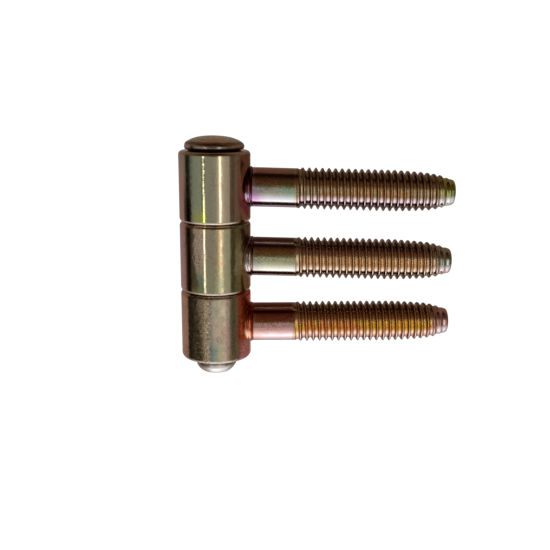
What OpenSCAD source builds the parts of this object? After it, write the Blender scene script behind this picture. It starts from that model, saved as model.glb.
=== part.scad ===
// Drill-in hinge with three knuckles on one loose pin.
// Origin: on the pin axis at mid-height of the middle knuckle.
// +Z runs along the pin towards its head, +X along the studs.
// Millimetres.

/* [Knuckle sleeves] */
// Outer diameter of each sleeve
sleeve_d = 13.6; // [12.5:0.1:16]
// Height of each sleeve
sleeve_h = 13.4; // [11:0.1:18]
// Radius of the rounded outer edges of a sleeve
edge_r = 0.75; // [0.3:0.05:1]
// Chamfer at each mouth of the bore
mouth_chamfer = 0.4; // [0.2:0.05:0.8]
// Radial clearance between the pin and the bores
pin_clearance = 0.05; // [0.02:0.01:0.09]
// Gap left between two sleeves that bear on each other
thrust_gap = 0.03; // [0.02:0.01:0.1]

/* [Studs] */
// Major diameter of the thread
thread_d = 7.9; // [7.2:0.05:8]
// Pitch of the thread
thread_pitch = 1.25; // [1:0.25:1.5]
// Diameter of the plain shank before the thread
shank_d = 7.47; // [7:0.01:7.6]
// Distance from the pin axis to the first full thread
thread_start = 16.2; // [14:0.1:20]
// Length of the parallel part of the thread
thread_len = 18; // [12:0.1:22]
// Distance from the pin axis to the stud's tip
stud_reach = 45.6; // [44:0.1:60]
// Diameter of the upset metal at the weld
weld_d = 8; // [7.8:0.05:8.6]
// Length of the upset metal, measured from the sleeve
weld_len = 0.55; // [0.3:0.05:1.5]
// How far the upper stud leans off square, degrees, up is positive
upper_lean = -1.4; // [-2:0.1:2]
// How far the middle stud leans off square, degrees
middle_lean = -1.3; // [-2:0.1:2]
// How far the lower stud leans off square, degrees
lower_lean = 0.4; // [-2:0.1:2]

/* [Pin] */
// Diameter of the pin
pin_d = 7.9; // [7:0.05:8.2]
// Diameter of the head
head_d = 11.36; // [10:0.02:12.4]
// Height of the head's apex above its bearing face
head_h = 2.69; // [2.2:0.01:3.5]
// Height of the relief under the head's rim
head_relief = 0.24; // [0.1:0.02:0.5]
// Diameter of the small hollow in the middle of the head
hollow_d = 0.7; // [0.4:0.1:1.2]
// Length of full diameter below the lowest sleeve
tail_full = 1.66; // [0.5:0.02:3]
// Length of the rounded end of the pin
tail_nose = 1.57; // [1.2:0.01:2]

/* [Hidden] */
$fn = 96;
sleeve_r = sleeve_d / 2;
bore_r = pin_d / 2 + pin_clearance;
// Distance between the middles of neighbouring knuckles
level = sleeve_h + thrust_gap;
top_z = level + sleeve_h / 2;
bottom_z = -top_z;
// Rounded shoulder: points of a quarter circle from angle a0 to a1
function arc(cx, cy, r, a0, a1, n = 6) =
    [for (i = [0 : n]) let (a = a0 + (a1 - a0) * i / n) [cx + r * cos(a), cy + r * sin(a)]];
// Radius of the sphere through the head's edge and its apex
head_edge_r = head_d / 2 - 0.23;
head_edge_z = 1.40;
dome_rise = head_h - head_edge_z;
dome_r = (head_edge_r * head_edge_r + dome_rise * dome_rise) / (2 * dome_rise);
// Points on the dome from the rim to the hollow
function dome(n = 10) =
    [for (i = [0 : n]) let (q = head_edge_r + (hollow_d / 2 - head_edge_r) * i / n)
        [q, head_h - dome_r + sqrt(dome_r * dome_r - q * q)]];
// Where the thread begins to taper, and the length of the taper
taper_x = thread_start + thread_len;
taper = stud_reach - taper_x;

// One knuckle sleeve: a turned tube with rounded outer edges, centred on z
module sleeve(z) {
    h = sleeve_h / 2;
    translate([0, 0, z])
        rotate_extrude()
            polygon(concat(
                [[bore_r, -h + mouth_chamfer], [bore_r + mouth_chamfer, -h]],
                arc(sleeve_r - edge_r, -h + edge_r, edge_r, -90, 0),
                arc(sleeve_r - edge_r, h - edge_r, edge_r, 0, 90),
                [[bore_r + mouth_chamfer, h], [bore_r, h - mouth_chamfer]]));
}

// One stud at height z, leaning by lean degrees. Its root is cut to the
// sleeve's outside, where it is welded. The thread is held at its major
// diameter, with a run-out of half a pitch and the tapered lead-in.
module stud(z, lean) {
    t = thread_d / 2;
    translate([0, 0, z])
        difference() {
            rotate([0, -lean, 0])
                rotate([0, 90, 0])
                    rotate_extrude()
                        polygon([[0, 5.2], [weld_d / 2, 5.2],
                            [weld_d / 2, sleeve_r + weld_len * 0.4],
                            [shank_d / 2 + 0.08, sleeve_r + weld_len * 0.75],
                            [shank_d / 2, sleeve_r + weld_len],
                            [shank_d / 2, thread_start - thread_pitch / 2],
                            [t, thread_start],
                            [t, taper_x],
                            [t * 0.966, taper_x + taper * 0.26],
                            [t * 0.936, taper_x + taper * 0.44],
                            [t * 0.895, taper_x + taper * 0.605],
                            [t * 0.816, taper_x + taper * 0.75],
                            [t * 0.715, taper_x + taper * 0.842],
                            [t * 0.652, taper_x + taper * 0.912],
                            [t * 0.576, taper_x + taper * 0.974],
                            [t * 0.5, taper_x + taper * 0.993],
                            [t * 0.38, stud_reach], [0, stud_reach]]);
            cylinder(r = sleeve_r, h = 30, center = true);
        }
}

module upper_sleeve() { color([0.62, 0.55, 0.40]) sleeve(level); }
module middle_sleeve() { color([0.60, 0.56, 0.42]) sleeve(0); }
module lower_sleeve() { color([0.55, 0.42, 0.34]) sleeve(-level); }
module upper_stud() { color([0.48, 0.38, 0.28]) stud(level, upper_lean); }
module middle_stud() { color([0.52, 0.40, 0.28]) stud(0, middle_lean); }
module lower_stud() { color([0.66, 0.50, 0.26]) stud(-level, lower_lean); }

// The pin: domed head with a relief under its rim, plain shank, rounded end
module hinge_pin() {
    color([0.46, 0.38, 0.30])
        translate([0, 0, top_z])
            rotate_extrude()
                polygon(concat(
                    [[0, bottom_z - top_z - tail_full - tail_nose],
                     [pin_d * 0.27, bottom_z - top_z - tail_full - tail_nose + 0.03]],
                    [[pin_d * 0.354, bottom_z - top_z - tail_full - tail_nose * 0.82],
                     [pin_d * 0.43, bottom_z - top_z - tail_full - tail_nose * 0.6],
                     [pin_d * 0.481, bottom_z - top_z - tail_full - tail_nose * 0.28],
                     [pin_d / 2, bottom_z - top_z - tail_full],
                     [pin_d / 2, 0],
                     [bore_r + mouth_chamfer + 0.6, 0],
                     [bore_r + mouth_chamfer + 0.75, head_relief],
                     [head_d / 2 - 0.33, head_relief],
                     [head_d / 2 - 0.08, head_relief + 0.17],
                     [head_d / 2, head_relief + 0.5],
                     [head_d / 2 - 0.02, head_relief + 0.72],
                     [head_d / 2 - 0.11, head_relief + 0.96]],
                    dome(),
                    [[hollow_d / 4, head_h - 0.12], [0, head_h - 0.12]]));
}

upper_sleeve();
middle_sleeve();
lower_sleeve();
upper_stud();
middle_stud();
lower_stud();
hinge_pin();
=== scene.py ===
import math

import bmesh
import bpy
import numpy as np
from mathutils import Matrix, Vector


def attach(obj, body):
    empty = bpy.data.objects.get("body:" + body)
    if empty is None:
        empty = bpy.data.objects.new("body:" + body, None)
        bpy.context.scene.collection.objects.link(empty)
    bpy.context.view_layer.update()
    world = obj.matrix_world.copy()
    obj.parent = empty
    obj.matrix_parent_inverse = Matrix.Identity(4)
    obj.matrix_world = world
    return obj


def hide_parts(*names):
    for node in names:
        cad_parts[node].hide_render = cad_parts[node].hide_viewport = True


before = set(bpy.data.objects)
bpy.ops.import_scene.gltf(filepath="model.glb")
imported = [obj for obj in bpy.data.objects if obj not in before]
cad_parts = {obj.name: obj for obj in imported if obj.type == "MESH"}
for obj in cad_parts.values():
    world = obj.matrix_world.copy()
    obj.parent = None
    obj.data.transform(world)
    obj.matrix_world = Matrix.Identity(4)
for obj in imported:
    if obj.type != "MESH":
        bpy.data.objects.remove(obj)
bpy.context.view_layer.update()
MM = 0.001
scene = bpy.context.scene
scene.view_settings.view_transform = "Standard"
scene.view_settings.look = "None"

# ---------------------------------------------------------------- camera
cam_data = bpy.data.cameras.new("camera")
cam = bpy.data.objects.new("camera", cam_data)
scene.collection.objects.link(cam)
cam_data.sensor_width = 36.0
cam_data.lens = 51.5446
cam_data.clip_start = 0.005
cam_data.clip_end = 20.0
right = Vector((0.99988321, -0.01415328, 0.00576723))
up = Vector((-0.00232499, 0.23210201, 0.97268867))
back = Vector((-0.01510532, -0.97258848, 0.23204199))
cam.matrix_world = Matrix(
    (
        (right.x, up.x, back.x, 9.2168 * MM),
        (right.y, up.y, back.y, -149.5508 * MM),
        (right.z, up.z, back.z, 31.6930 * MM),
        (0, 0, 0, 1),
    )
)
scene.camera = cam

# ---------------------------------------------------------------- sizes
SLEEVE_R = 6.8
SLEEVE_H = 6.7  # half height
EDGE_R = 0.75
BORE_R = 4.0
LEVEL = 13.43
TOP_Z = LEVEL + SLEEVE_H
SHANK_R = 3.735
PITCH = 1.25
REACH = 45.6
HAND = 1  # 1 for a right-hand thread

# name: height, lean in degrees, crest position at the lower outline, angle
# of that outline below the horizontal as the thread was measured from it
STUDS = {
    "upper_stud": (LEVEL, -1.4, 15.978, 6.97),
    "middle_stud": (0.0, -1.3, 16.650, 11.97),
    "lower_stud": (-LEVEL, 0.4, 16.657, 16.8),
}


# ---------------------------------------------------------------- mesh tools
def smoothstep(x, a, b):
    t = np.clip((x - a) / (b - a), 0.0, 1.0)
    return t * t * (3 - 2 * t)


def ripple(theta, v, seed, terms=7, lobes=(2, 9), step=(0.15, 0.9)):
    """A smooth irregular field over angle and height, about -1 to 1."""
    r = np.random.default_rng(seed)
    out = np.zeros(np.broadcast(theta, v).shape)
    for _ in range(terms):
        k = r.integers(lobes[0], lobes[1] + 1)
        w = r.uniform(step[0], step[1])
        out += np.cos(k * theta + r.uniform(0, 2 * math.pi)) * np.cos(w * v + r.uniform(0, 2 * math.pi))
    return out / math.sqrt(terms)


def make_piece(name, verts, faces, sharp=None, merge=2e-7):
    me = bpy.data.meshes.new(name)
    me.from_pydata((np.asarray(verts, float) * MM).tolist(), [], faces)
    bm = bmesh.new()
    bm.from_mesh(me)
    bmesh.ops.remove_doubles(bm, verts=bm.verts, dist=merge)
    bmesh.ops.dissolve_degenerate(bm, edges=bm.edges, dist=merge)
    loose = [v for v in bm.verts if not v.link_faces]
    if loose:
        bmesh.ops.delete(bm, geom=loose, context="VERTS")
    bmesh.ops.recalc_face_normals(bm, faces=bm.faces)
    bm.to_mesh(me)
    bm.free()
    me.polygons.foreach_set("use_smooth", [True] * len(me.polygons))
    if sharp:
        me.set_sharp_from_angle(angle=math.radians(sharp))
    me.update()
    ob = bpy.data.objects.new(name, me)
    scene.collection.objects.link(ob)
    return ob


def grid_faces(rows, cols, wrap, start=0):
    """Quads of a grid with rows x cols points, row by row."""
    i = np.arange(rows - 1)[:, None]
    j = np.arange(cols if wrap else cols - 1)[None, :]
    a = start + i * cols + j
    b = start + i * cols + (j + 1) % cols
    c = start + (i + 1) * cols + (j + 1) % cols
    d = start + (i + 1) * cols + j
    return np.stack([a, b, c, d], -1).reshape(-1, 4).tolist()


def settle(ob, node, body, material):
    ob.data.materials.clear()
    ob.data.materials.append(material)
    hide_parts(node)
    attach(ob, body)


# ---------------------------------------------------------------- sleeves
def sleeve_mesh(name, z0, seed):
    n = 288
    h = SLEEVE_H
    prof = []
    for t in np.linspace(-h + 0.4, h - 0.4, 7):  # bore, from the bottom up
        prof.append((BORE_R, t))
    prof.append((BORE_R + 0.015, h - 0.385))
    prof.append((BORE_R + 0.385, h - 0.015))
    prof.append((BORE_R + 0.4, h))
    for r in np.linspace(BORE_R + 0.55, SLEEVE_R - EDGE_R - 0.03, 7):
        prof.append((r, h))
    for a in np.linspace(90, 0, 12):
        c = math.cos(math.radians(a))
        s = math.sin(math.radians(a))
        prof.append((SLEEVE_R - EDGE_R + EDGE_R * c, h - EDGE_R + EDGE_R * s))
    for t in np.linspace(h - EDGE_R - 0.12, -h + EDGE_R + 0.12, 44):
        prof.append((SLEEVE_R, t))
    for a in np.linspace(0, -90, 12):
        c = math.cos(math.radians(a))
        s = math.sin(math.radians(a))
        prof.append((SLEEVE_R - EDGE_R + EDGE_R * c, -h + EDGE_R + EDGE_R * s))
    for r in np.linspace(SLEEVE_R - EDGE_R - 0.03, BORE_R + 0.55, 7):
        prof.append((r, -h))
    prof.append((BORE_R + 0.4, -h))
    prof.append((BORE_R + 0.385, -h + 0.015))
    prof.append((BORE_R + 0.015, -h + 0.385))
    prof = np.array(prof)
    m = len(prof)
    th = np.arange(n) * 2 * math.pi / n
    T, R = np.meshgrid(th, prof[:, 0])
    _, Z = np.meshgrid(th, prof[:, 1])
    outer = smoothstep(R, BORE_R + 1.2, SLEEVE_R - 0.2)
    # the turned wall is not quite true, and its edges are a little uneven
    R = R + outer * 0.0045 * ripple(T, Z, seed, 9, (3, 13), (0.3, 1.5)) - outer * 0.006
    edge = smoothstep(np.abs(Z), h - EDGE_R - 0.1, h - 0.05) * outer
    R = R - edge * 0.014 * (0.5 + 0.5 * ripple(T, Z * 0.2, seed + 5, 8, (2, 15), (0.1, 0.4)))
    verts = np.stack([R * np.cos(T), R * np.sin(T), Z + z0], -1).reshape(-1, 3)
    faces = grid_faces(m, n, True)
    last = (m - 1) * n
    for j in range(n):
        k = (j + 1) % n
        faces.append([last + j, last + k, k, j])
    return make_piece(name, verts, faces, sharp=38)


# ---------------------------------------------------------------- studs
BEAD_END = {"upper_stud": 7.06, "middle_stud": 7.24, "lower_stud": 7.26}
ENVELOPE = np.array(
    [
        (0.0, 3.735), (15.25, 3.735), (15.5, 3.75), (15.9, 3.83), (16.4, 3.92), (17.0, 3.95),
        (34.2, 3.95), (37.16, 3.816), (39.2, 3.697), (41.1, 3.535), (42.75, 3.223),
        (43.8, 2.824), (44.47, 2.61), (45.05, 2.44), (45.3, 2.34), (45.45, 2.21), (45.55, 1.98), (45.6, 1.7),
    ]
)
DEPTH = np.array(
    [
        (0.0, 0.0), (15.15, 0.0), (15.5, 0.03), (15.9, 0.2), (16.4, 0.42), (17.0, 0.62), (17.6, 0.72),
        (34.2, 0.72), (39.0, 0.59), (41.0, 0.47), (42.75, 0.33), (43.8, 0.20), (44.5, 0.09), (44.9, 0.0), (46, 0.0),
    ]
)


def thread_table():
    """Depth of the groove, 0 to 1, against the distance from the crest."""
    p = np.linspace(0, PITCH / 2, 400)
    up_ = smoothstep(p, 0.0, 0.19)
    down = 1 - smoothstep(p, 0.33, 0.62)
    slope = up_ * down
    d = np.concatenate([[0], np.cumsum((slope[1:] + slope[:-1]) / 2)])
    return p, d / d[-1]


TABLE_P, TABLE_D = thread_table()


def stud_radius(x, theta, c):
    s = x / PITCH - HAND * theta / (2 * math.pi) + c
    p = np.abs(s - np.round(s)) * PITCH
    env = np.interp(x, ENVELOPE[:, 0], ENVELOPE[:, 1])
    dep = np.interp(x, DEPTH[:, 0], DEPTH[:, 1])
    return env - dep * np.interp(p, TABLE_P, TABLE_D)


def stud_mesh(name, seed):
    z0, lean, phase, beta = STUDS[name]
    t = math.radians(lean)
    cols = 112
    th_b = math.radians(270 - beta)
    c = -phase / PITCH + HAND * th_b / (2 * math.pi)
    # rows of the threaded part follow the crests, from xa to xb
    xa, xb = 15.1, 45.0
    inner = [0.03, 0.06, 0.09, 0.125, 0.19, 0.26, 0.32, 0.375, 0.425, 0.475, 0.525, 0.575]
    offs = sorted([-PITCH / 2] + [-v for v in inner] + [0.0] + inner)
    first = math.floor(xa / PITCH + c) - 2
    last = math.ceil(xb / PITCH + c) + 2
    u = np.array([(k - c) * PITCH + o for k in range(first, last + 1) for o in offs])
    th = np.arange(cols + 1) * 2 * math.pi / cols
    U, T = np.meshgrid(u, th, indexing="ij")
    X = np.clip(U + HAND * PITCH * T / (2 * math.pi), xa, xb)
    R = stud_radius(X, T, c)
    wear = 0.006 * ripple(T, X, seed, 10, (1, 6), (0.8, 4.0))
    R = R + wear * smoothstep(X, 16.0, 17.0) * (1 - smoothstep(X, 44.3, 44.9))
    rows = len(u)
    local = [np.stack([X, R * np.cos(T), R * np.sin(T)], -1).reshape(-1, 3)]
    faces = grid_faces(rows, cols + 1, False)
    base = rows * (cols + 1)
    th = th[:-1]

    # weld bead: upset metal that rolls from the sleeve's wall onto the shank
    def root_x(r, ang, big):
        return (np.sqrt(big**2 - (r * np.cos(ang)) ** 2) + r * np.sin(ang) * math.sin(t)) / math.cos(t)

    bead_t = np.array([0.0, 0.035, 0.075, 0.12, 0.17, 0.23, 0.3, 0.37, 0.45, 0.53, 0.61, 0.69, 0.76, 0.82, 0.87, 0.92, 0.96, 1.0])
    lift = np.interp(
        bead_t,
        [0.0, 0.05, 0.12, 0.2, 0.3, 0.42, 0.55, 0.68, 0.78, 0.86, 0.93, 1.0],
        [0.34, 0.19, 0.10, 0.075, 0.10, 0.145, 0.165, 0.145, 0.095, 0.03, -0.035, 0.0],
    )
    end_at = BEAD_END[name]
    end_x = end_at + 0.05 * ripple(th, 0.0, seed + 1, 6, (1, 5), (0.1, 0.2))
    uneven = 1 + 0.22 * ripple(th, 0.0, seed + 2, 7, (1, 8), (0.1, 0.2))
    rings = []
    for k, f in enumerate(bead_t):
        r = SHANK_R + lift[k] * uneven
        x0 = root_x(r, th, SLEEVE_R - 0.05)
        x = x0 + (end_x - x0) * f
        rings.append(np.stack([x, r * np.cos(th), r * np.sin(th)], -1))
    # plain shank
    for x in np.linspace(7.5, 15.0, 30):
        xs = np.full(cols, x)
        if x < 8.2:
            xs = xs + (end_x - end_at) * (1 - (x - 7.3) / 0.9)
        r = SHANK_R + 0.0035 * ripple(th, x, seed + 3, 8, (2, 7), (0.5, 2.5)) * smoothstep(np.array([x]), 7.4, 8.0)
        rings.append(np.stack([xs, r * np.cos(th), r * np.sin(th)], -1))
    rings.append(np.stack([np.full(cols, xa), SHANK_R * np.cos(th), SHANK_R * np.sin(th)], -1))
    body = np.concatenate(rings)
    faces += grid_faces(len(rings), cols, True, base)
    root_start = base
    local.append(body)
    base += len(body)

    # saddle that closes the root, just inside the sleeve
    caps = []
    r0 = SHANK_R + lift[0] * uneven
    for f in (0.75, 0.5, 0.25):
        r = r0 * f
        caps.append(np.stack([root_x(r, th, SLEEVE_R - 0.05), r * np.cos(th), r * np.sin(th)], -1))
    caps = np.concatenate(caps)
    local.append(caps)
    faces += grid_faces(3, cols, True, base)
    for j in range(cols):
        k = (j + 1) % cols
        faces.append([root_start + j, root_start + k, base + k, base + j])
    centre = base + len(caps)
    local.append(np.array([[root_x(0.0, 0.0, SLEEVE_R - 0.05), 0, 0]]))
    inner_ring = base + 2 * cols
    for j in range(cols):
        faces.append([inner_ring + j, inner_ring + (j + 1) % cols, centre])
    base = centre + 1

    # blunt end
    tip = [(xb, None), (45.14, 2.41), (45.26, 2.36), (45.36, 2.295), (45.44, 2.215), (45.5, 2.115), (45.545, 2.0), (45.575, 1.86), (45.59, 1.68), (45.597, 1.45), (45.6, 1.0), (45.6, 0.5)]
    rings = []
    for x, r in tip:
        if r is None:
            r = float(np.interp(x, ENVELOPE[:, 0], ENVELOPE[:, 1]))
        rr = r * (1 + 0.006 * ripple(th, x, seed + 4, 5, (1, 4), (0.2, 1.0)) * (0 if x == xb else 1))
        rings.append(np.stack([np.full(cols, x), rr * np.cos(th), rr * np.sin(th)], -1))
    n_tip = len(rings)
    rings = np.concatenate(rings)
    local.append(rings)
    faces += grid_faces(n_tip, cols, True, base)
    centre = base + len(rings)
    local.append(np.array([[REACH, 0, 0]]))
    outer = base + (n_tip - 1) * cols
    for j in range(cols):
        faces.append([outer + j, outer + (j + 1) % cols, centre])

    p = np.concatenate(local)
    ax = np.array([math.cos(t), 0, math.sin(t)])
    ay = np.array([0.0, 1.0, 0.0])
    az = np.cross(ax, ay)
    verts = p[:, :1] * ax + p[:, 1:2] * ay + p[:, 2:3] * az + np.array([0, 0, z0])
    return make_piece(name, verts, faces, sharp=None)


# ---------------------------------------------------------------- pin
def pin_mesh(name, seed):
    n = 240
    head = 2.69
    edge_r, edge_z = 5.45, 1.40
    rise = head - edge_z
    prof = [(0.10, head - 0.24), (0.20, head - 0.22), (0.27, head - 0.15), (0.33, head - 0.05), (0.40, head - 0.014)]
    for q in np.linspace(0.52, edge_r - 0.18, 40):
        prof.append((q, head - rise * (0.70 / 1.51 * (q / edge_r) ** 2 + 0.81 / 1.51 * (q / edge_r) ** 4)))
    prof += [
        (5.34, 1.47), (5.41, 1.41), (5.47, 1.345), (5.525, 1.275), (5.57, 1.20), (5.61, 1.12), (5.64, 1.035), (5.662, 0.94),
        (5.675, 0.84), (5.679, 0.74), (5.675, 0.65), (5.66, 0.56), (5.63, 0.47), (5.585, 0.385), (5.52, 0.31),
        (5.44, 0.262), (5.35, 0.25), (5.22, 0.247), (5.14, 0.24), (5.09, 0.21), (5.04, 0.12), (5.0, 0.0), (4.6, 0.0), (4.0, 0.0), (3.955, -0.02),
    ]
    low = -2 * TOP_Z
    for z in np.linspace(-0.6, low - 1.60, 60):
        prof.append((3.95, z))
    prof += [(3.935, low - 1.72), (3.90, low - 1.88), (3.83, low - 2.03)]
    prof += [(3.73, low - 2.21), (3.61, low - 2.38), (3.47, low - 2.54), (3.32, low - 2.70), (3.15, low - 2.85), (2.97, low - 2.97), (2.78, low - 3.065), (2.55, low - 3.14), (2.3, low - 3.19), (2.0, low - 3.215), (1.4, low - 3.228), (0.7, low - 3.23)]
    prof = np.array(prof)
    m = len(prof)
    th = np.arange(n) * 2 * math.pi / n
    T, R = np.meshgrid(th, prof[:, 0])
    _, Z = np.meshgrid(th, prof[:, 1])
    rim = np.exp(-(((Z - 0.85) / 0.48) ** 2)) * smoothstep(R, 4.6, 5.4)
    R = R + rim * (0.016 * ripple(T, Z * 2.0, seed, 8, (2, 17), (0.3, 1.2)) - 0.012)
    crown = smoothstep(Z, 1.1, 1.4) * smoothstep(R, 3.4, 5.2)
    Z = Z + crown * 0.013 * ripple(T, R * 1.4, seed + 1, 8, (2, 14), (0.4, 1.6))
    dome = smoothstep(Z, 1.2, 1.6) * (1 - smoothstep(Z, head - 0.2, head))
    Z = Z + dome * 0.006 * ripple(T, R, seed + 2, 8, (1, 6), (0.6, 2.2))
    # the head is hammered on a little out of square, and the tail is worn on one side
    Z = Z - smoothstep(Z, 0.7, 1.3) * 0.018 * R * np.cos(T)
    worn = smoothstep(-Z, -low + 1.4, -low + 2.2) * (1 - smoothstep(-Z, -low + 2.9, -low + 3.2))
    R = R - worn * 0.17 * (0.5 + 0.5 * np.cos(T)) ** 1.5 + worn * 0.012 * ripple(T, Z, seed + 3, 6, (2, 7), (0.5, 2.0))
    verts = np.stack([R * np.cos(T), R * np.sin(T), Z + TOP_Z], -1).reshape(-1, 3)
    faces = grid_faces(m, n, True)
    verts = np.concatenate([verts, [[0, 0, TOP_Z + head - 0.245], [0, 0, TOP_Z + low - 3.23]]])
    a, b = m * n, m * n + 1
    for j in range(n):
        k = (j + 1) % n
        faces.append([k, j, a])
        faces.append([(m - 1) * n + j, (m - 1) * n + k, b])
    return make_piece(name, verts, faces, sharp=50)


# ---------------------------------------------------------------- node tools
class Graph:
    def __init__(self, tree):
        self.tree = tree
        tree.nodes.clear()

    def node(self, kind, **props):
        n = self.tree.nodes.new(kind)
        for k, v in props.items():
            setattr(n, k, v)
        return n

    def put(self, socket, value):
        if isinstance(value, bpy.types.NodeSocket):
            self.tree.links.new(value, socket)
        elif hasattr(value, "__len__") and len(value) == 3 and socket.type == "RGBA":
            socket.default_value = (*value, 1.0)
        else:
            socket.default_value = value

    def math(self, op, a, b=None, c=None):
        n = self.node("ShaderNodeMath", operation=op)
        for i, v in enumerate((a, b, c)):
            if v is not None:
                self.put(n.inputs[i], v)
        return n.outputs[0]

    def add(self, a, b):
        return self.math("ADD", a, b)

    def mul(self, a, b):
        return self.math("MULTIPLY", a, b)

    def smooth(self, v, a, b, lo=0.0, hi=1.0):
        n = self.node("ShaderNodeMapRange", interpolation_type="SMOOTHSTEP")
        if a > b:
            a, b, lo, hi = b, a, hi, lo
        self.put(n.inputs["Value"], v)
        self.put(n.inputs["From Min"], a)
        self.put(n.inputs["From Max"], b)
        self.put(n.inputs["To Min"], lo)
        self.put(n.inputs["To Max"], hi)
        return n.outputs["Result"]

    def band(self, v, a, b, soft_a, soft_b=None):
        """1 between a and b, falling to 0 outside over the soft lengths."""
        soft_b = soft_a if soft_b is None else soft_b
        past = self.math("SUBTRACT", v, b)
        return self.mul(self.smooth(v, a - soft_a, a), self.smooth(past, 0.0, soft_b, 1.0, 0.0))

    def vec(self, x, y, z):
        n = self.node("ShaderNodeCombineXYZ")
        for i, v in enumerate((x, y, z)):
            self.put(n.inputs[i], v)
        return n.outputs[0]

    def scale(self, v, s):
        n = self.node("ShaderNodeVectorMath", operation="MULTIPLY")
        self.put(n.inputs[0], v)
        self.put(n.inputs[1], (s, s, s) if isinstance(s, (int, float)) else s)
        return n.outputs[0]

    def shift(self, v, s):
        n = self.node("ShaderNodeVectorMath", operation="ADD")
        self.put(n.inputs[0], v)
        self.put(n.inputs[1], s)
        return n.outputs[0]

    def noise(self, v, scale, detail=2.0, rough=0.5, warp=0.0, seed=0.0):
        n = self.node("ShaderNodeTexNoise")
        self.put(n.inputs["Vector"], self.shift(v, (seed * 3.7, seed * 1.3, seed * 5.1)) if seed else v)
        self.put(n.inputs["Scale"], scale)
        self.put(n.inputs["Detail"], detail)
        self.put(n.inputs["Roughness"], rough)
        self.put(n.inputs["Distortion"], warp)
        return n.outputs["Fac"]

    def mix(self, a, b, f):
        n = self.node("ShaderNodeMix", data_type="RGBA", blend_type="MIX")
        self.put(n.inputs[0], f)
        self.put(n.inputs[6], a)
        self.put(n.inputs[7], b)
        return n.outputs[2]

    def tint(self, a, b, f):
        n = self.node("ShaderNodeMix", data_type="RGBA", blend_type="MULTIPLY")
        self.put(n.inputs[0], f)
        self.put(n.inputs[6], a)
        self.put(n.inputs[7], b)
        return n.outputs[2]

    def ramp(self, v, stops):
        n = self.node("ShaderNodeValToRGB")
        el = n.color_ramp.elements
        while len(el) > 1:
            el.remove(el[-1])
        el[0].position = stops[0][0]
        el[0].color = (*stops[0][1], 1.0)
        for pos, col in stops[1:]:
            e = el.new(pos)
            e.color = (*col, 1.0)
        self.put(n.inputs[0], v)
        return n.outputs[0]


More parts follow.
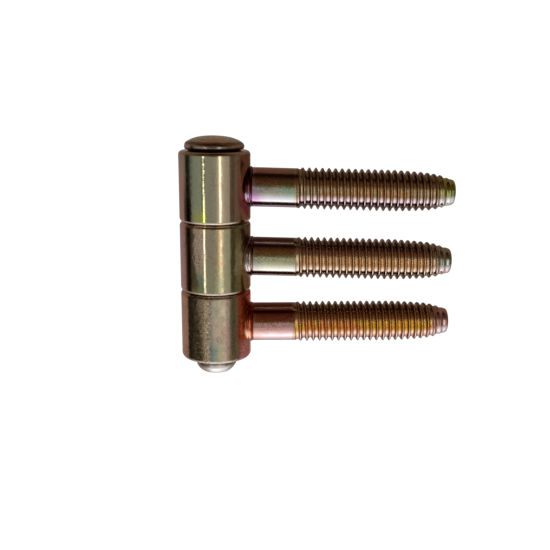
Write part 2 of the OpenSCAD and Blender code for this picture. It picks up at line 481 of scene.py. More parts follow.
# ---------------------------------------------------------------- studio
def build_world():
    world = bpy.data.worlds.new("studio")
    scene.world = world
    world.use_nodes = True
    world.cycles.sampling_method = "NONE"
    g = Graph(world.node_tree)
    tc = g.node("ShaderNodeTexCoord")
    sep = g.node("ShaderNodeSeparateXYZ")
    g.put(sep.inputs[0], tc.outputs["Generated"])
    x, y, z = sep.outputs
    az = g.math("DEGREES", g.math("ARCTAN2", x, g.mul(y, -1.0)))
    el = g.math("DEGREES", g.math("ARCSINE", g.math("MINIMUM", g.math("MAXIMUM", z, -0.99999), 0.99999)))
    side = g.math("ABSOLUTE", az)

    def at(deg):
        return (deg + 180.0) / 360.0

    # surroundings at the level of the table's edge, by direction; 0 is the
    # photographer's side
    level = [
        (-180, (0.29, 0.23, 0.21)),
        (-105, (0.28, 0.225, 0.215)),
        (-102.5, (0.012, 0.005, 0.002)),
        (-84.5, (0.012, 0.005, 0.002)),
        (-82, (0.18, 0.175, 0.17)),
        (-66, (0.26, 0.26, 0.25)),
        (-50, (0.29, 0.29, 0.28)),
        (-37, (0.27, 0.27, 0.26)),
        (-34.4, (0.30, 0.30, 0.28)),
        (-33.4, (3.0, 2.9, 2.6)),
        (-31.2, (3.0, 2.9, 2.6)),
        (-30.2, (0.30, 0.29, 0.28)),
        (-6, (0.29, 0.29, 0.27)),
        (6, (0.34, 0.33, 0.30)),
        (12, (0.48, 0.46, 0.41)),
        (16.5, (0.66, 0.63, 0.56)),
        (18.8, (2.5, 2.42, 2.15)),
        (21.6, (2.5, 2.42, 2.15)),
        (24.5, (0.66, 0.62, 0.56)),
        (31, (0.43, 0.41, 0.37)),
        (40, (0.34, 0.33, 0.29)),
        (50.5, (0.33, 0.31, 0.27)),
        (52.5, (0.10, 0.075, 0.05)),
        (66, (0.10, 0.075, 0.055)),
        (74, (0.19, 0.14, 0.12)),
        (84, (0.16, 0.11, 0.085)),
        (96, (0.16, 0.09, 0.065)),
        (130, (0.12, 0.065, 0.05)),
        (150, (0.13, 0.08, 0.06)),
        (180, (0.29, 0.23, 0.21)),
    ]
    horizon = g.ramp(g.math("DIVIDE", g.add(az, 180.0), 360.0), [(at(a), c) for a, c in level])
    # the sides and the back get lighter towards the table
    reach = g.smooth(az, -60.0, 60.0, 0.3, 1.6)
    gain = g.add(1.0, g.mul(g.mul(g.smooth(side, 84.0, 104.0), g.smooth(el, -6.0, -18.0)), reach))
    horizon = g.scale(horizon, g.vec(gain, gain, gain))
    # above the horizon, towards the photographer and away from it
    e01 = g.math("DIVIDE", g.add(el, 90.0), 180.0)

    def up01(deg):
        return (deg + 90.0) / 180.0

    front_up = g.ramp(
        e01,
        [
            (up01(0), (0.14, 0.13, 0.085)),
            (up01(8), (0.125, 0.10, 0.055)),
            (up01(16), (0.115, 0.082, 0.040)),
            (up01(25), (0.112, 0.066, 0.034)),
            (up01(35), (0.118, 0.064, 0.036)),
            (up01(45), (0.100, 0.046, 0.028)),
            (up01(58), (0.066, 0.027, 0.017)),
            (up01(66), (0.030, 0.010, 0.006)),
            (up01(76), (0.011, 0.0045, 0.0033)),
            (up01(90), (0.012, 0.0050, 0.0042)),
        ],
    )
    back_up = g.ramp(
        e01,
        [
            (up01(0), (0.29, 0.22, 0.17)),
            (up01(20), (0.27, 0.20, 0.15)),
            (up01(48), (0.22, 0.145, 0.10)),
            (up01(62), (0.22, 0.13, 0.09)),
            (up01(76), (0.19, 0.12, 0.085)),
            (up01(83), (0.13, 0.09, 0.07)),
            (up01(87), (0.02, 0.010, 0.009)),
            (up01(90), (0.009, 0.0040, 0.0035)),
        ],
    )
    away = g.smooth(side, 60.0, 120.0)
    above = g.mix(front_up, back_up, away)
    front_low = g.ramp(
        e01,
        [
            (up01(-90), (1.15, 1.15, 1.19)),
            (up01(-82), (1.42, 1.42, 1.47)),
            (up01(-74), (1.42, 1.42, 1.47)),
            (up01(-69), (1.10, 1.10, 1.15)),
            (up01(-62), (1.00, 1.00, 1.03)),
            (up01(-52), (0.80, 0.80, 0.81)),
            (up01(-40), (0.54, 0.54, 0.53)),
            (up01(-28), (0.44, 0.435, 0.42)),
            (up01(-16), (0.32, 0.32, 0.30)),
        ],
    )
    back_low = g.ramp(
        e01,
        [
            (up01(-90), (1.15, 1.15, 1.19)),
            (up01(-82), (0.92, 0.91, 0.92)),
            (up01(-70), (0.80, 0.78, 0.77)),
            (up01(-56), (0.60, 0.56, 0.54)),
            (up01(-44), (0.42, 0.36, 0.34)),
            (up01(-30), (0.30, 0.22, 0.20)),
            (up01(-16), (0.26, 0.17, 0.16)),
        ],
    )
    below = g.mix(front_low, back_low, away)
    colour = g.mix(horizon, below, g.smooth(el, -18.0, -34.0))
    # tall lights and dark panels stand to the sides and reach higher
    low_edge = g.smooth(side, 9.0, 15.0, 0.5, 4.0)
    high_edge = g.smooth(side, 9.0, 15.0, 8.0, 30.0)
    rise = g.node("ShaderNodeMapRange", interpolation_type="SMOOTHSTEP")
    g.put(rise.inputs["Value"], el)
    g.put(rise.inputs["From Min"], low_edge)
    g.put(rise.inputs["From Max"], high_edge)
    colour = g.mix(colour, above, rise.outputs["Result"])

    studio = g.node("ShaderNodeBackground")
    g.put(studio.inputs["Color"], colour)
    plain = g.node("ShaderNodeBackground")
    plain.inputs["Color"].default_value = (1, 1, 1, 1)
    plain.inputs["Strength"].default_value = 1.15
    path = g.node("ShaderNodeLightPath")
    mix = g.node("ShaderNodeMixShader")
    g.put(mix.inputs[0], path.outputs["Is Glossy Ray"])
    g.tree.links.new(plain.outputs[0], mix.inputs[1])
    g.tree.links.new(studio.outputs[0], mix.inputs[2])
    out = g.node("ShaderNodeOutputWorld")
    g.tree.links.new(mix.outputs[0], out.inputs["Surface"])


def build_floor():
    s = 4.0
    z = -0.14
    me = bpy.data.meshes.new("floor")
    me.from_pydata([(-s, -s, z), (s, -s, z), (s, s, z), (-s, s, z)], [], [(0, 1, 2, 3)])
    ob = bpy.data.objects.new("floor", me)
    scene.collection.objects.link(ob)
    mat = bpy.data.materials.new("pale_floor")
    mat.use_nodes = True
    b = mat.node_tree.nodes["Principled BSDF"]
    b.inputs["Base Color"].default_value = (0.93, 0.93, 0.925, 1)
    b.inputs["Roughness"].default_value = 0.9
    b.inputs["Specular IOR Level"].default_value = 0.0
    me.materials.append(mat)
    ob.visible_glossy = False


# ---------------------------------------------------------------- plating
def plating(name, paint, rough=0.12, bloom=0.85, gritty=0.8):
    """Zinc plate with a yellow chromate film. paint returns the colour, a
    mask for duller places, one for pitted places and one for rolling."""
    mat = bpy.data.materials.new(name)
    mat.use_nodes = True
    g = Graph(mat.node_tree)
    tc = g.node("ShaderNodeTexCoord")
    p = g.scale(tc.outputs["Object"], 1000.0)
    sep = g.node("ShaderNodeSeparateXYZ")
    g.put(sep.inputs[0], p)
    x, y, z = sep.outputs
    colour, dull, pits, roll = paint(g, p, x, y, z)
    # fine bloom of the film, specks, and the darker floor of the pits
    film = g.noise(p, 1.3, 3.0, 0.6, 0.4, 2.0)
    grit = g.noise(p, 4.6, 2.0, 0.6, 0.0, 3.0)
    speck = g.noise(p, 3.1, 3.0, 0.65, 0.2, 4.0)
    colour = g.tint(colour, g.ramp(film, [(0.28, (0.86, 0.91, 1.0)), (0.5, (1, 1, 1)), (0.72, (1.0, 0.93, 0.82))]), bloom)
    colour = g.tint(colour, g.ramp(grit, [(0.30, (0.80, 0.79, 0.77)), (0.55, (1, 1, 1))]), gritty)
    colour = g.tint(colour, g.ramp(speck, [(0.36, (0.36, 0.30, 0.23)), (0.56, (1, 1, 1))]), pits)
    b = g.node("ShaderNodeBsdfPrincipled")
    g.put(b.inputs["Base Color"], colour)
    b.inputs["Metallic"].default_value = 1.0
    b.inputs["IOR"].default_value = 1.5
    r = g.add(rough, g.mul(g.smooth(film, 0.35, 0.75), 0.03))
    r = g.add(r, g.mul(dull, 0.20))
    r = g.add(r, g.mul(pits, 0.12))
    g.put(b.inputs["Roughness"], r)
    # lacquer-fine texture, soft rolling, and pits where the plate is coarse
    fine = g.noise(p, 9.0, 2.0, 0.6, 0.0, 5.0)
    soft = g.noise(p, 1.9, 2.0, 0.5, 0.0, 6.0)
    height = g.add(g.mul(fine, 0.035), g.mul(soft, g.add(0.16, g.mul(roll, 0.7))))
    height = g.add(height, g.mul(g.mul(speck, pits), 0.55))
    bump = g.node("ShaderNodeBump")
    bump.inputs["Strength"].default_value = 1.0
    bump.inputs["Distance"].default_value = 0.00002
    g.put(bump.inputs["Height"], height)
    g.put(b.inputs["Normal"], bump.outputs[0])
    out = g.node("ShaderNodeOutputMaterial")
    g.tree.links.new(b.outputs[0], out.inputs["Surface"])
    return mat


def round_angle(g, x, y):
    """Angle of a wall point about the pin, 0 on the -Y side, + towards +X."""
    return g.math("DEGREES", g.math("ARCTAN2", x, g.mul(y, -1.0)))


def weld_distance(g, x, y, z, z0):
    """Distance from the middle of the weld on the sleeve's side."""
    a = g.math("POWER", g.math("SUBTRACT", x, SLEEVE_R), 2.0)
    b = g.math("POWER", y, 2.0)
    c = g.math("POWER", g.math("SUBTRACT", z, z0), 2.0)
    return g.math("SQRT", g.add(g.add(a, b), c))


def centred(g, v, gain):
    return g.mul(g.math("SUBTRACT", v, 0.5), gain)


OLIVE = (0.66, 0.60, 0.43)
TAN = (0.68, 0.57, 0.43)


def plain_back(g, c, phi, wob, big, one, two):
    """The side of a sleeve away from the photographer, hidden in the photo."""
    back = g.mix(one, two, g.smooth(big, 0.40, 0.62))
    return g.mix(c, back, g.smooth(g.math("ABSOLUTE", g.add(phi, wob)), 100.0, 132.0))


def paint_upper_sleeve(g, p, x, y, z):
    phi = round_angle(g, x, y)
    big = g.noise(p, 0.28, 2.0, 0.5, 0.6, 11.0)
    wob = centred(g, g.noise(p, 0.6, 2.0, 0.5, 0.0, 12.0), 14.0)
    rag = centred(g, g.noise(g.scale(p, (1.0, 1.0, 0.55)), 2.4, 2.0, 0.6, 0.0, 13.0), 7.0)
    ph = g.add(phi, wob)
    h = g.math("SUBTRACT", z, LEVEL)
    c = g.mix(OLIVE, TAN, g.smooth(ph, -6.0, 14.0))
    c = g.mix(c, (0.62, 0.66, 0.44), g.mul(g.band(ph, -48.0, -21.0, 14.0, 8.0), 0.85))
    c = g.mix(c, (0.57, 0.66, 0.43), g.mul(g.mul(g.smooth(big, 0.5, 0.7), g.band(ph, -60.0, -10.0, 10.0)), 0.8))
    c = g.mix(c, (0.80, 0.80, 0.24), g.mul(g.mul(g.band(g.add(phi, rag), -30.0, -13.0, 8.0, 2.0), g.smooth(g.add(h, g.mul(wob, 0.1)), -2.6, -5.6)), 0.8))
    # painted highlight: a dotted light strip where the left highlight falls, a darker line just left of it, and yellow
    # at its lower end
    highlight_dots = g.smooth(g.noise(g.scale(p, (0.3, 0.3, 1.0)), 2.6, 2.0, 0.6, 0.0, 15.0), 0.42, 0.60)
    highlight_strip = g.mix((0.20, 0.20, 0.13), (0.66, 0.66, 0.40), g.math("MAXIMUM", highlight_dots, g.smooth(h, 2.0, -3.0)))
    c = g.mix(c, highlight_strip, g.mul(g.band(phi, -16.2, -11.6, 1.0), g.smooth(h, -5.6, -3.6, 0.3, 0.9)))
    c = g.mix(c, (0.34, 0.34, 0.22), g.mul(g.band(phi, -17.4, -15.4, 0.8), 0.7))
    c = g.mix(c, (0.92, 0.88, 0.18), g.mul(g.band(g.add(phi, g.mul(rag, 0.4)), -19.0, -11.0, 1.5), g.smooth(g.add(h, g.mul(wob, 0.1)), -2.5, -5.2, 0.0, 0.65)))
    # painted shade: a ragged dark band on the left, where a dark reflection falls; further right a painted highlight, a
    # cream band where the right highlight falls, and the wall browner beyond it
    c = g.mix(c, (0.10, 0.06, 0.03), g.mul(g.band(g.add(phi, rag), -52.0, -38.5, 6.0, 3.0), g.smooth(h, 3.0, -4.0, 0.25, 0.9)))
    d = g.add(weld_distance(g, x, y, z, LEVEL), g.mul(wob, 0.07))
    c = g.mix(c, (0.88, 0.73, 0.55), g.mul(g.band(ph, 16.0, 29.0, 4.0), 0.75))
    c = g.mix(c, (0.68, 0.51, 0.36), g.smooth(ph, 34.0, 46.0))
    c = g.mix(c, (0.62, 0.38, 0.24), g.mul(g.smooth(phi, 40.0, 50.0), g.smooth(h, 1.0, 4.0)))
    c = g.mix(c, (0.74, 0.36, 0.30), g.mul(g.smooth(d, 6.0, 5.0), g.smooth(h, 4.6, 1.0)))
    c = g.mix(c, (0.62, 0.16, 0.24), g.mul(g.smooth(d, 6.6, 5.4), g.smooth(h, -0.5, -3.5)))
    # painted shade: a dark ring in the crease round the weld's foot, except at its top
    c = g.mix(c, (0.10, 0.02, 0.025), g.mul(g.band(d, 3.6, g.smooth(h, 0.0, -3.0, 4.34, 4.12), 0.3, 0.22), g.smooth(h, 4.8, 3.4)))
    c = g.mix(c, (0.50, 0.18, 0.46), g.mul(g.band(d, 4.05, 4.3, 0.12, 0.2), g.mul(g.smooth(h, -0.5, -2.0), 0.8)))
    c = g.mix(c, g.mix((0.78, 0.49, 0.43), (0.60, 0.46, 0.34), g.smooth(h, 2.0, 6.0)), g.band(phi, -100.0, -57.0, 20.0, 5.0))
    c = g.mix(c, (0.50, 0.40, 0.29), g.mul(g.smooth(g.add(h, g.mul(wob, 0.03)), 5.8, 6.2), 0.8))
    c = plain_back(g, c, phi, wob, big, OLIVE, TAN)
    pits = g.add(g.mul(g.smooth(g.noise(p, 0.5, 2.0, 0.5, 0.3, 14.0), 0.55, 0.75), 0.5), g.mul(g.band(phi, -46.0, -36.0, 8.0, 6.0), 0.6))
    pits = g.add(pits, g.mul(g.smooth(phi, 26.0, 40.0), 0.35))
    # painted highlight: the bottom edge paler, where it faces the bright floor
    c = g.mix(c, (0.82, 0.72, 0.63), g.smooth(h, -6.0, -6.3))
    roll = g.add(g.mul(g.band(phi, -24.0, -8.0, 6.0), g.smooth(h, -6.0, 2.0, 0.1, 0.35)), 0.1)
    return c, g.mul(g.smooth(big, 0.45, 0.75), 0.10), pits, roll


def paint_middle_sleeve(g, p, x, y, z):
    phi = round_angle(g, x, y)
    big = g.noise(p, 0.30, 2.0, 0.5, 0.6, 21.0)
    wob = centred(g, g.noise(p, 0.7, 2.0, 0.5, 0.0, 22.0), 16.0)
    rag = centred(g, g.noise(g.scale(p, (1.0, 1.0, 0.45)), 2.2, 3.0, 0.65, 0.0, 23.0), 16.0)
    ph = g.add(phi, wob)
    pr = g.add(phi, rag)
    h = g.add(z, g.mul(wob, 0.12))
    c = g.mix((0.68, 0.58, 0.42), (0.66, 0.64, 0.42), g.smooth(h, 2.0, -4.0))
    c = g.mix(c, (0.98, 0.74, 0.58), g.mul(g.band(pr, -36.0, -19.0, 6.0, 6.0), g.smooth(h, -3.6, 0.2)))
    c = g.mix(c, (0.40, 0.50, 0.36), g.mul(g.mul(g.band(ph, -36.0, -18.0, 6.0), g.smooth(h, -2.0, -3.8)), g.smooth(h, -7.0, -5.0)))
    # painted shade: a ragged dark band on the left, where a dark reflection falls
    c = g.mix(c, (0.27, 0.18, 0.09), g.mul(g.band(pr, -54.0, g.add(-35.0, g.smooth(z, 1.0, -6.0, 0.0, 7.0)), 3.0, 5.0), 0.9))
    c = g.mix(c, (0.60, 0.60, 0.20), g.mul(g.mul(g.smooth(h, -4.4, -6.0), g.band(ph, -36.0, -20.0, 6.0)), 0.7))
    c = g.mix(c, (0.64, 0.46, 0.24), g.mul(g.band(ph, 4.0, 12.0, 4.0), g.smooth(h, -5.0, 0.0, 0.0, 0.6)))
    c = g.mix(c, (0.50, 0.48, 0.32), g.mul(g.band(ph, 6.0, 15.0, 4.0), g.smooth(h, -1.0, -3.5, 0.0, 0.6)))
    # painted highlight: a cream band where the right highlight falls; painted shade: a darker olive band right of it,
    # where a dark reflection falls
    c = g.mix(c, (0.86, 0.75, 0.53), g.mul(g.band(ph, 16.0, 27.0, 4.0), 0.7))
    c = g.mix(c, (0.40, 0.42, 0.20), g.mul(g.smooth(pr, 27.0, 33.0), 0.95))
    c = g.mix(c, (0.70, 0.74, 0.44), g.mul(g.band(g.add(phi, g.mul(rag, 0.3)), 22.0, 27.5, 1.5), 0.5))
    c = g.mix(c, (0.84, 0.88, 0.54), g.mul(g.band(ph, 38.0, 50.0, 5.0), g.mul(g.smooth(h, 5.0, 1.0), g.smooth(h, -4.5, -1.5, 0.25, 1.0))))
    c = g.mix(c, (0.40, 0.26, 0.12), g.smooth(ph, 56.0, 70.0))
    c = g.mix(c, (0.77, 0.48, 0.45), g.band(phi, -100.0, -55.5, 20.0, 5.0))
    # painted highlight: the bottom edge paler, where it faces the bright floor
    c = g.mix(c, (0.80, 0.68, 0.60), g.smooth(z, -6.0, -6.3))
    d = g.add(weld_distance(g, x, y, z, 0.0), g.mul(wob, 0.06))
    # painted shade: a dark brown ring in the crease round the weld's foot, on its upper side
    c = g.mix(c, (0.24, 0.14, 0.08), g.mul(g.band(d, 4.2, 5.0, 0.4, 0.8), g.smooth(h, 0.8, 2.6)))
    c = g.mix(c, (0.72, 0.58, 0.48), g.mul(g.smooth(d, 4.9, 4.3), g.smooth(h, 2.0, 0.0)))
    c = plain_back(g, c, phi, wob, big, (0.66, 0.60, 0.42), (0.68, 0.57, 0.46))
    pits = g.add(g.mul(g.band(phi, -56.0, -26.0, 6.0, 8.0), 0.45), g.mul(g.smooth(g.noise(p, 0.5, 2.0, 0.5, 0.3, 24.0), 0.55, 0.75), 0.5))
    pits = g.add(pits, g.mul(g.smooth(phi, 26.0, 32.0), 0.5))
    dull = g.add(g.mul(g.smooth(big, 0.45, 0.75), 0.12), g.mul(g.band(phi, 3.0, 14.0, 5.0), g.smooth(z, -5.0, -1.0, 0.85, 0.5)))
    roll = g.add(0.1, g.mul(g.band(phi, 2.0, 14.0, 5.0), 0.5))
    return c, dull, pits, roll


def paint_lower_sleeve(g, p, x, y, z):
    phi = round_angle(g, x, y)
    big = g.noise(p, 0.32, 2.0, 0.5, 0.6, 31.0)
    wob = centred(g, g.noise(p, 0.9, 3.0, 0.6, 0.0, 32.0), 20.0)
    rag = centred(g, g.noise(g.scale(p, (1.0, 1.0, 0.6)), 2.6, 3.0, 0.65, 0.0, 33.0), 22.0)
    ph = g.add(phi, wob)
    pr = g.add(phi, rag)
    h = g.add(z, LEVEL)
    hw = g.add(h, g.mul(wob, 0.10))
    c = g.mix((0.66, 0.61, 0.46), (0.72, 0.56, 0.43), g.smooth(hw, 3.5, 0.0))
    c = g.mix(c, (0.43, 0.33, 0.22), g.mul(g.band(pr, -36.0, -12.0, 6.0, 5.0), 0.95))
    c = g.mix(c, (0.88, 0.76, 0.62), g.mul(g.band(ph, -9.0, 1.0, 4.0), 0.7))
    # painted highlight: a cream band where the right highlight falls
    c = g.mix(c, (0.92, 0.72, 0.57), g.mul(g.band(ph, 16.0, 28.0, 4.0), 0.75))
    # painted shade: a dark band on the left, where a dark reflection falls
    c = g.mix(c, (0.13, 0.085, 0.035), g.mul(g.band(g.add(phi, g.mul(rag, 0.7)), -47.5, g.smooth(h, -6.0, 6.0, -24.0, -33.0), 1.5, 9.0), 0.93))
    c = g.mix(c, (0.60, 0.48, 0.37), g.mul(g.mul(g.smooth(g.noise(p, 2.4, 3.0, 0.6, 0.2, 34.0), 0.53, 0.66), g.band(ph, -44.0, -8.0, 8.0)), 0.6))
    c = g.mix(c, (0.50, 0.57, 0.50), g.mul(g.mul(g.band(ph, -6.0, 3.0, 4.0), g.smooth(hw, -1.2, -4.2)), g.smooth(hw, -7.0, -5.4)))
    c = g.mix(c, (0.54, 0.54, 0.36), g.mul(g.band(ph, 6.0, 14.0, 4.0), g.smooth(hw, 0.0, -3.0, 0.0, 0.7)))
    # painted highlight: the same band pinkish on its lower part; painted shade: a darker olive band right of it, where
    # a dark reflection falls
    c = g.mix(c, (0.86, 0.60, 0.53), g.mul(g.mul(g.band(ph, 17.0, 28.0, 4.0), g.smooth(hw, 3.0, 0.0)), 0.8))
    c = g.mix(c, (0.47, 0.41, 0.26), g.mul(g.band(g.add(phi, g.mul(rag, 0.4)), 26.0, 36.0, 3.0), 0.8))
    c = g.mix(c, (0.66, 0.44, 0.25), g.smooth(ph, 34.0, 42.0))
    c = g.mix(c, (0.71, 0.44, 0.28), g.band(phi, -100.0, -50.5, 20.0, 3.0))
    # painted highlight: the bottom edge paler, where it faces the bright floor
    c = g.mix(c, (0.80, 0.70, 0.60), g.smooth(h, -6.0, -6.3))
    d = g.add(weld_distance(g, x, y, z, -LEVEL), g.mul(wob, 0.06))
    streak = g.noise(g.scale(p, (1.0, 1.0, 0.35)), 1.9, 3.0, 0.6, 0.4, 35.0)
    c = g.mix(c, (0.70, 0.16, 0.05), g.mul(g.smooth(g.add(d, centred(g, streak, 2.0)), 6.6, 5.6), g.smooth(phi, 36.0, 44.0)))
    c = g.mix(c, (0.98, 0.42, 0.14), g.mul(g.mul(g.smooth(streak, 0.46, 0.60), g.smooth(d, 6.2, 5.0)), g.mul(g.smooth(hw, 4.5, 1.5), g.smooth(phi, 40.0, 48.0))))
    c = g.mix(c, (0.88, 0.52, 0.54), g.mul(g.smooth(hw, -2.0, -3.6), g.smooth(phi, 40.0, 47.0)))
    c = g.mix(c, (0.80, 0.20, 0.12), g.mul(g.smooth(hw, 2.2, 3.6), g.smooth(phi, 36.0, 46.0)))
    c = plain_back(g, c, phi, wob, big, (0.64, 0.56, 0.42), (0.66, 0.53, 0.38))
    pits = g.add(g.mul(g.band(phi, -47.0, -10.0, 4.0, 10.0), 1.0), g.mul(g.smooth(g.noise(p, 0.5, 2.0, 0.5, 0.3, 36.0), 0.45, 0.65), 0.55))
    pits = g.math("MINIMUM", g.add(pits, g.mul(g.smooth(phi, 24.0, 34.0), 0.45)), 1.0)
    dull = g.add(g.mul(g.smooth(big, 0.45, 0.75), 0.2), g.add(0.12, g.mul(g.band(phi, 0.0, 16.0, 6.0), 1.1)))
    return c, dull, pits, 0.45


def stud_paint(node, seed, tone_and_light):
    z0, lean, phase, beta = STUDS[node]
    t = math.radians(lean)
    c0 = -phase / PITCH + HAND * math.radians(270 - beta) / (2 * math.pi)

    def paint(g, p, x, y, z):
        dz = g.math("SUBTRACT", z, z0)
        along = g.add(g.mul(x, math.cos(t)), g.mul(dz, math.sin(t)))
        high = g.add(g.mul(x, -math.sin(t)), g.mul(dz, math.cos(t)))
        psi = g.math("DEGREES", g.math("ARCTAN2", high, g.math("ABSOLUTE", y)))  # 90 on top, -90 underneath
        turn = g.mul(g.math("ARCTAN2", high, y), -HAND / (2 * math.pi))
        s = g.add(g.add(g.mul(along, 1 / PITCH), turn), c0)
        q = g.mul(g.math("ABSOLUTE", g.math("SUBTRACT", s, g.math("ROUND", s))), PITCH)  # 0 at a crest
        wob = centred(g, g.noise(p, 0.55, 3.0, 0.6, 0.3, seed), 1.0)
        rag = centred(g, g.noise(p, 2.3, 2.0, 0.6, 0.0, seed + 0.5), 1.0)
        xs = g.add(along, g.mul(wob, 2.0))
        pw = g.add(psi, g.mul(rag, tone_and_light["ragged"]))
        under = g.smooth(psi, -6.0, -22.0)
        # plain shank
        c = g.mix(tone_and_light["shank"], tone_and_light["shank_end"], g.smooth(xs, 11.0, 14.0))
        # painted highlight: the underside lighter and whiter, where the bright floor is reflected
        c = g.mix(c, tone_and_light["under"], g.mul(g.smooth(g.add(psi, g.mul(wob, 30.0)), -14.0, -30.0), 0.8))
        c = g.mix(c, tone_and_light["near"], g.mul(g.smooth(xs, 10.0, 7.6), g.smooth(psi, 10.0, -16.0, 0.35, 1.0)))
        # painted shade: the upper half, the crown and the top ridge darker, where the dark overhead is reflected
        c = g.tint(c, tone_and_light["upper_half"], g.mul(g.smooth(pw, 10.0, 16.0), g.smooth(along, 7.3, 8.0)))
        c = g.tint(c, tone_and_light["crown"], g.smooth(psi, 38.0, 46.0))
        c = g.tint(c, tone_and_light["ridge_shade"], g.smooth(psi, 60.0, 66.0))
        c = g.mix(c, tone_and_light["glint"], g.mul(g.band(psi, tone_and_light["glint_at"] - 1.6, tone_and_light["glint_at"] + 1.6, 1.6), g.smooth(wob, -0.30, 0.0)))
        b0 = BEAD_END[node]
        strand = g.noise(g.vec(g.mul(along, 2.6), g.mul(psi, 0.016), 0.0), 1.0, 3.0, 0.6, 0.5, seed + 0.7)
        # the bead's heat tint, painted lighter on its lower part as a painted highlight
        bead = g.mix(tone_and_light["bead"], tone_and_light["bead_low"], g.smooth(g.add(psi, g.mul(rag, 20.0)), -4.0, -22.0))
        bead = g.tint(bead, (0.30, 0.22, 0.20), g.smooth(strand, 0.54, 0.42))
        bead = g.tint(bead, tone_and_light["bead_edge"], g.smooth(g.add(along, g.mul(rag, 0.3)), b0 - 0.58, b0 - 0.40))
        # painted shade: dark in the crease where the bead meets the sleeve, except on its underside
        off_wall = g.math("SUBTRACT", g.math("SQRT", g.add(g.math("POWER", x, 2.0), g.math("POWER", y, 2.0))), SLEEVE_R)
        crease_shade = g.smooth(g.math("SUBTRACT", off_wall, g.mul(g.math("ABSOLUTE", y), 0.165)), 0.10, -0.06)
        bead = g.tint(bead, (0.10, 0.05, 0.06), g.mul(g.mul(crease_shade, g.smooth(g.add(psi, g.mul(rag, 14.0)), -18.0, -2.0)), tone_and_light["crease_shade"]))
        c = g.mix(bead, c, g.smooth(g.add(along, g.mul(rag, 0.2)), b0 - 0.06, b0 + 0.16))
        # painted shade: a dark line in the groove between the bead and the shank
        c = g.tint(c, (0.25, 0.2, 0.2), g.band(g.add(along, g.mul(rag, 0.1)), b0 - 0.04, b0 + 0.05, 0.06))
        # thread: brown film, with a painted highlight on its lower part and painted shade on the flanks, along the
        # lower edge and on top
        big = g.noise(g.scale(p, (0.5, 1.0, 1.0)), 0.32, 2.0, 0.5, 0.5, seed + 1)
        side = g.mix(tone_and_light["root"], tone_and_light["root2"], g.smooth(big, 0.44, 0.60))
        low = g.mix(side, tone_and_light["low"], g.smooth(g.add(psi, g.mul(wob, 22.0)), -12.0, -30.0))
        tc = g.mix(low, tone_and_light["top"], g.smooth(g.add(psi, g.mul(wob, 14.0)), 4.0, 26.0))
        flank = g.mul(g.smooth(q, 0.07, 0.13), g.smooth(q, 0.42, 0.32))
        tc = g.tint(tc, tone_and_light["flank"], g.mul(flank, g.smooth(psi, 34.0, 2.0, 0.9, 1.0)))
        tc = g.tint(tc, tone_and_light["belly_thread"], g.smooth(psi, -45.0, -55.0))
        tc = g.tint(tc, (0.42, 0.38, 0.36), g.smooth(psi, tone_and_light["top_at"], tone_and_light["top_at"] + 12.0))
        c = g.mix(c, tc, g.smooth(along, 15.05, 15.5))
        c = g.mix(c, tone_and_light["ring"], g.mul(g.band(along, 15.0, 15.35, 0.12), g.smooth(psi, 70.0, 20.0, 0.2, 0.8)))
        # painted highlight on the tip's lower part, painted shade on its upper part
        tip = g.mix(tone_and_light["tip_low"], tone_and_light["tip"], g.smooth(g.add(psi, g.mul(rag, 24.0)), -24.0, 2.0))
        tip = g.tint(tip, tone_and_light["tip_top"], g.smooth(pw, 12.0, 26.0))
        c = g.mix(c, tip, g.smooth(xs, 41.4, 44.2))
        # sawn end
        end = g.mix((0.56, 0.50, 0.38), (0.66, 0.58, 0.50), g.smooth(g.noise(p, 0.8, 3.0, 0.6, 0.4, seed + 4), 0.40, 0.60))
        c = g.mix(c, end, g.smooth(along, 45.47, 45.57))
        # painted shade: the shank darker along its lower edge
        c = g.tint(c, tone_and_light["belly"], g.mul(g.smooth(psi, tone_and_light["belly_at"], tone_and_light["belly_at"] - 7.0), g.smooth(along, 15.4, 15.0)))
        pits = g.add(g.mul(g.smooth(g.noise(p, 0.9, 2.0, 0.5, 0.3, seed + 3), 0.40, 0.62), 0.4), g.mul(g.band(psi, 2.0, 34.0, 6.0), 0.35))
        pits = g.mul(pits, g.smooth(along, 15.6, 14.8, 0.35, 1.0))
        dull = g.mul(g.smooth(along, 15.0, 16.0), 0.12)
        roll = g.mul(g.band(psi, -2.0, 40.0, 8.0), g.smooth(along, 15.4, 14.9, 0.0, 1.0))
        return c, dull, g.mul(pits, g.smooth(under, 0.0, 1.0, 1.0, 0.25)), roll

    return paint


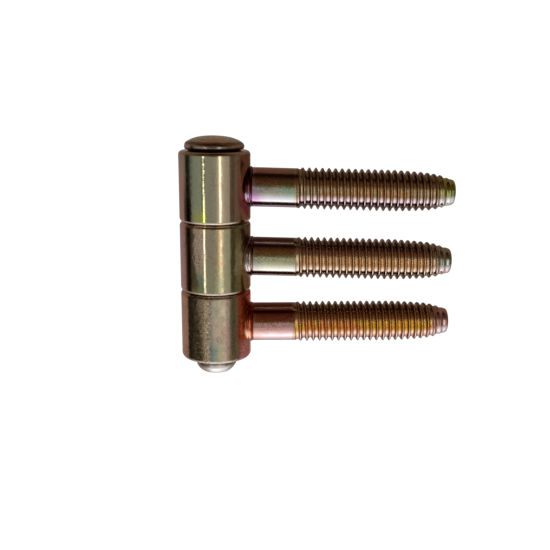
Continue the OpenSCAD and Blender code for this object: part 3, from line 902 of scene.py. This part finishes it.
def paint_pin(g, p, x, y, z):
    wob = centred(g, g.noise(p, 0.5, 3.0, 0.6, 0.4, 61.0), 1.0)
    rag = centred(g, g.noise(p, 2.2, 2.0, 0.6, 0.0, 62.0), 1.0)
    r = g.math("SQRT", g.add(g.math("POWER", x, 2.0), g.math("POWER", y, 2.0)))
    phi = round_angle(g, x, y)
    c = g.mix((0.60, 0.60, 0.50), (0.70, 0.57, 0.41), g.smooth(g.add(wob, g.mul(g.math("ABSOLUTE", phi), -0.004)), -0.16, 0.02))
    hz = g.math("SUBTRACT", z, TOP_Z)
    # painted shade: the dome darker at its front than at its sides
    c = g.mix(c, g.mix((0.40, 0.33, 0.25), (0.62, 0.50, 0.38), g.smooth(g.math("ABSOLUTE", g.add(phi, -4.0)), 14.0, 34.0)), g.smooth(hz, 1.46, 1.36))
    # painted shade: a dark band round the dome just above the rim, where a dark reflection falls
    c = g.mix(c, (0.27, 0.18, 0.11), g.mul(g.band(g.add(r, g.mul(rag, 0.30)), 5.05, 5.52, 0.2, 0.05), g.smooth(hz, 1.05, 1.15)))
    # painted shade: dark under the head, above the sleeve's top
    c = g.mix(c, (0.07, 0.035, 0.025), g.mul(g.smooth(hz, 0.72, 0.56), g.smooth(r, 4.2, 4.6)))
    c = g.mix(c, (0.012, 0.008, 0.005), g.mul(g.smooth(r, 0.46, 0.36), g.smooth(z, 21.5, 22.0)))
    # painted highlight: the tail near-white in its middle; painted shade: dark patches to its sides and a darker top,
    # under the sleeve
    off = g.add(phi, g.add(g.mul(rag, 24.0), -12.0))
    tail = g.mix((1.0, 0.97, 0.96), g.mix((0.58, 0.50, 0.45), (0.60, 0.59, 0.58), g.smooth(off, -20.0, 20.0)), g.smooth(g.math("ABSOLUTE", off), 18.0, 46.0))
    tail = g.mix(tail, (0.30, 0.20, 0.14), g.mul(g.band(off, -62.0, -34.0, 8.0), g.smooth(g.add(z, g.mul(rag, 0.6)), -21.9, -21.3)))
    tail = g.mix(tail, (0.28, 0.20, 0.15), g.mul(g.band(off, 22.0, 40.0, 8.0), g.smooth(g.add(z, g.mul(rag, 0.6)), -21.7, -21.2)))
    tail = g.mix(tail, (0.36, 0.30, 0.25), g.smooth(g.add(z, g.mul(rag, 0.3)), -21.5, -21.1))
    c = g.mix(c, tail, g.smooth(g.add(z, g.mul(wob, 0.3)), -20.3, -20.9))
    pits = g.mul(g.smooth(g.noise(p, 0.8, 2.0, 0.5, 0.3, 63.0), 0.42, 0.62), 0.55)
    worn = g.smooth(z, -20.3, -20.9)
    return c, g.add(g.add(0.3, g.mul(wob, 0.3)), g.mul(worn, 0.5)), g.mul(pits, g.smooth(hz, 0.5, 1.5, 0.3, 1.0)), 0.5


STUD_TONES_AND_LIGHT = {
    "upper_stud": dict(
        ragged=12.0,
        top_at=32.0,
        shank=(0.78, 0.74, 0.64), shank_end=(0.66, 0.79, 0.62), under=(0.76, 0.74, 0.82), near=(0.68, 0.40, 0.62),
        upper_half=(0.72, 0.56, 0.42), crown=(0.92, 0.72, 0.78), ridge_shade=(1.0, 1.0, 1.0), belly=(0.62, 0.55, 0.64), belly_at=-50.0,
        bead=(0.42, 0.14, 0.19), bead_low=(0.90, 0.66, 0.86), bead_edge=(0.46, 0.26, 0.40), crease_shade=0.92,
        glint=(0.5, 0.4, 0.4), glint_at=88.0, belly_thread=(0.30, 0.24, 0.24),
        root=(0.76, 0.50, 0.28), root2=(0.70, 0.55, 0.37), low=(0.96, 0.82, 0.86), top=(0.90, 0.74, 0.50),
        flank=(0.34, 0.25, 0.20), ring=(0.74, 0.62, 0.38),
        tip=(0.58, 0.62, 0.22), tip_low=(0.80, 0.84, 0.78), tip_top=(0.8, 0.8, 0.6),
    ),
    "middle_stud": dict(
        ragged=24.0,
        top_at=38.0,
        shank=(0.84, 0.83, 0.56), shank_end=(0.84, 0.82, 0.55), under=(0.84, 0.84, 0.80), near=(0.68, 0.64, 0.56),
        upper_half=(0.78, 0.64, 0.46), crown=(0.40, 0.24, 0.18), ridge_shade=(0.42, 0.30, 0.24), belly=(0.45, 0.42, 0.44), belly_at=-37.0,
        bead=(0.50, 0.38, 0.32), bead_low=(0.86, 0.76, 0.70), bead_edge=(0.62, 0.50, 0.46), crease_shade=0.25,
        glint=(0.80, 0.66, 0.60), glint_at=56.5, belly_thread=(0.42, 0.34, 0.30),
        root=(0.94, 0.64, 0.36), root2=(0.94, 0.66, 0.42), low=(1.0, 0.86, 0.72), top=(1.0, 0.80, 0.60),
        flank=(0.36, 0.25, 0.19), ring=(0.80, 0.72, 0.58),
        tip=(0.54, 0.62, 0.54), tip_low=(0.84, 0.72, 0.72), tip_top=(0.8, 0.72, 0.6),
    ),
    "lower_stud": dict(
        ragged=15.0,
        top_at=44.0,
        shank=(0.98, 0.56, 0.50), shank_end=(0.98, 0.58, 0.56), under=(0.97, 0.77, 0.78), near=(0.95, 0.56, 0.50),
        upper_half=(0.64, 0.46, 0.32), crown=(0.60, 0.30, 0.17), ridge_shade=(0.55, 0.5, 0.45), belly=(0.85, 0.93, 0.95), belly_at=-37.0,
        bead=(0.78, 0.20, 0.09), bead_low=(1.0, 0.60, 0.38), bead_edge=(0.66, 0.26, 0.20), crease_shade=0.35,
        glint=(0.95, 0.80, 0.68), glint_at=60.5, belly_thread=(0.80, 0.72, 0.72),
        root=(0.98, 0.64, 0.12), root2=(0.98, 0.48, 0.17), low=(0.98, 0.74, 0.62), top=(1.0, 0.72, 0.42),
        flank=(0.36, 0.21, 0.13), ring=(0.80, 0.46, 0.24),
        tip=(0.80, 0.45, 0.44), tip_low=(0.86, 0.72, 0.76), tip_top=(0.75, 0.85, 0.80),
    ),
}

build_world()
build_floor()

upper = sleeve_mesh("upper_knuckle_sleeve", LEVEL, 101)
middle = sleeve_mesh("middle_knuckle_sleeve", 0.0, 202)
lower = sleeve_mesh("lower_knuckle_sleeve", -LEVEL, 303)
settle(upper, "upper_sleeve", "upper_knuckle", plating("plate_upper_sleeve", paint_upper_sleeve, 0.09))
settle(middle, "middle_sleeve", "middle_knuckle", plating("plate_middle_sleeve", paint_middle_sleeve, 0.09))
settle(lower, "lower_sleeve", "lower_knuckle", plating("plate_lower_sleeve", paint_lower_sleeve, 0.12))

for node, body, mesh_seed, seed in (
    ("upper_stud", "upper_knuckle", 404, 41.0),
    ("middle_stud", "middle_knuckle", 505, 45.0),
    ("lower_stud", "lower_knuckle", 606, 49.0),
):
    ob = stud_mesh(node, mesh_seed)
    ob.name = node.replace("_stud", "_threaded_stud")
    settle(ob, node, body, plating("plate_" + node, stud_paint(node, seed, STUD_TONES_AND_LIGHT[node]), 0.11, 0.4, 0.45))

pin = pin_mesh("headed_pin", 707)
settle(pin, "hinge_pin", "pin", plating("plate_pin", paint_pin, 0.16))
